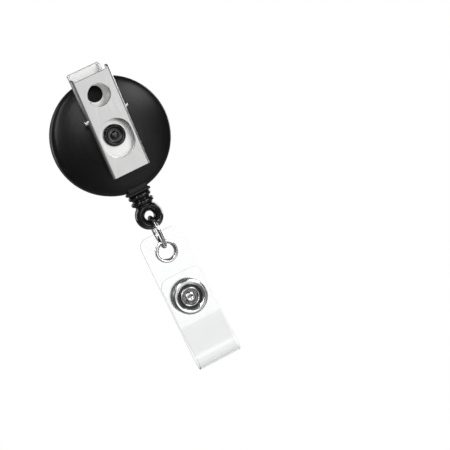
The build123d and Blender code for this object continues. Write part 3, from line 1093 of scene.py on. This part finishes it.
# CAD nodes whose shape is right only get their finish
for node, material in {
    "spool": spoolWhite,
    "cord_windings": cordBlack,
    "cord_inner_run": cordBlack,
    "cord_knot": cordBlack,
    "power_spring": springSteel,
}.items():
    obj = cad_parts[node]
    obj.data.materials.clear()
    obj.data.materials.append(material)
print("pieces ready")


# the view: frame width and the aim's shift right and up are in millimetres
shot = {
    "azimuth": 168.5, "elevation": 7.6, "roll": 25.4, "width": 124.2, "lens": 100.0,
    "aim": (0, -6.0, 0), "aside": (31.46, -24.56),
}


def cameraAxes():
    a, e, roll = (math.radians(shot[k]) for k in ("azimuth", "elevation", "roll"))
    back = Vector((math.sin(a) * math.cos(e), -math.cos(a) * math.cos(e), math.sin(e)))
    flatRight = Vector((0, 0, 1)).cross(back).normalized()
    flatUp = back.cross(flatRight)
    right = flatRight * math.cos(roll) - flatUp * math.sin(roll)
    up = flatRight * math.sin(roll) + flatUp * math.cos(roll)
    return right, up, back


def makeFloor():
    deselectAll()
    bpy.ops.mesh.primitive_plane_add(size=40, location=(0, 0, -1.1))
    floor = bpy.context.object
    floor.name = "paleFloor"
    material, nodes, links, shader, vector = newMaterial("floorPaint")
    shader.inputs["Base Color"].default_value = (0.8, 0.8, 0.8, 1)
    shader.inputs["Roughness"].default_value = 1.0
    glow = nodes.new("ShaderNodeEmission")
    path = nodes.new("ShaderNodeLightPath")
    camera, through = path.outputs["Is Camera Ray"], path.outputs["Is Transmission Ray"]
    # seen straight on, the floor glows an even white; seen through the vinyl it glows dimmer towards the
    # middle, a painted shadow under the object
    reach = nodes.new("ShaderNodeVectorMath")
    reach.operation = "LENGTH"
    links.new(vector, reach.inputs[0])
    far = nodes.new("ShaderNodeMapRange")
    far.inputs["From Min"].default_value = 0.35
    far.inputs["From Max"].default_value = 1.1
    far.inputs["To Min"].default_value = 0.3
    links.new(reach.outputs["Value"], far.inputs["Value"])
    bright = calculate(nodes, links, "MAXIMUM", camera, far.outputs["Result"])
    links.new(bright, glow.inputs["Strength"])
    choice = nodes.new("ShaderNodeMixShader")
    links.new(calculate(nodes, links, "MAXIMUM", camera, through), choice.inputs["Fac"])
    links.new(shader.outputs[0], choice.inputs[1])
    links.new(glow.outputs[0], choice.inputs[2])
    links.new(choice.outputs[0], nodes["Material Output"].inputs["Surface"])
    floor.data.materials.append(material)


def makeLight(name, at, size, glow):
    # at is (right, up, back) of the object in metres, glow is how bright the panel looks
    right, up, back = cameraAxes()
    target = Vector((0, midY / 1000, -0.02))
    place = target + right * at[0] + up * at[1] + back * at[2]
    data = bpy.data.lights.new(name, "AREA")
    data.shape = "RECTANGLE"
    data.size, data.size_y = size
    data.energy = glow * math.pi * size[0] * size[1]
    light = bpy.data.objects.new(name, data)
    bpy.context.collection.objects.link(light)
    light.location = place
    light.rotation_euler = (target - place).to_track_quat("-Z", "Y").to_euler()


def makeWorld():
    # white to look at, a bright band at eye level through vinyl, a dim room in mirrors
    room = {"lit": 0.12, "overhead": 0.3, "bandEdge": (0.2, 0.75)}
    world = bpy.data.worlds.new("paleRoom")
    bpy.context.scene.world = world
    world.use_nodes = True
    nodes, links = world.node_tree.nodes, world.node_tree.links
    background = nodes["Background"]
    path = nodes.new("ShaderNodeLightPath")
    place = nodes.new("ShaderNodeTexCoord")
    split = nodes.new("ShaderNodeSeparateXYZ")
    links.new(place.outputs["Generated"], split.inputs["Vector"])
    height = calculate(nodes, links, "ABSOLUTE", split.outputs["Z"])
    band = nodes.new("ShaderNodeMapRange")
    band.inputs["From Min"].default_value, band.inputs["From Max"].default_value = room["bandEdge"]
    band.inputs["To Min"].default_value = 1.0
    band.inputs["To Max"].default_value = room["overhead"]
    links.new(height, band.inputs["Value"])
    through = calculate(
        nodes, links, "MULTIPLY", path.outputs["Is Transmission Ray"], band.outputs["Result"]
    )
    seen = calculate(nodes, links, "MAXIMUM", path.outputs["Is Camera Ray"], through)
    level = calculate(nodes, links, "MAXIMUM", seen, room["lit"])
    background.inputs["Color"].default_value = (1, 1, 1, 1)
    links.new(level, background.inputs["Strength"])
    bpy.context.scene.view_settings.view_transform = "Standard"


def makeCamera():
    right, up, back = cameraAxes()
    aim = Vector(shot["aim"]) / 1000
    aim += right * shot["aside"][0] / 1000 + up * shot["aside"][1] / 1000
    data = bpy.data.cameras.new("camera")
    data.lens = shot["lens"]
    data.sensor_width = 36
    data.clip_start = 0.01
    camera = bpy.data.objects.new("camera", data)
    bpy.context.collection.objects.link(camera)
    distance = shot["width"] / 1000 * shot["lens"] / data.sensor_width
    turn = Matrix((right, up, back)).transposed().to_4x4()
    camera.matrix_world = Matrix.Translation(aim + back * distance) @ turn
    bpy.context.scene.camera = camera


makeFloor()
makeWorld()
makeLight("jawPanel", (0.62, -0.38, 0.68), (0.75, 0.6), 0.72)
makeLight("basePanel", (0.52, 0.08, 0.85), (0.45, 0.4), 1.5)
makeLight("upperBox", (0.55, 0.6, 0.62), (0.5, 0.4), 6.0)
makeLight("thinStrip", (-0.04, 0.3, 1.0), (0.08, 0.5), 14.0)
makeLight("leftFill", (-0.62, 0.3, 0.72), (0.14, 0.8), 9.0)
makeLight("frontKey", (0.5, 0.45, -1.0), (0.8, 0.8), 3.4)
makeLight("frontSide", (-0.9, 0.1, -0.6), (0.3, 0.9), 2.4)
makeCamera()
print("stage ready")
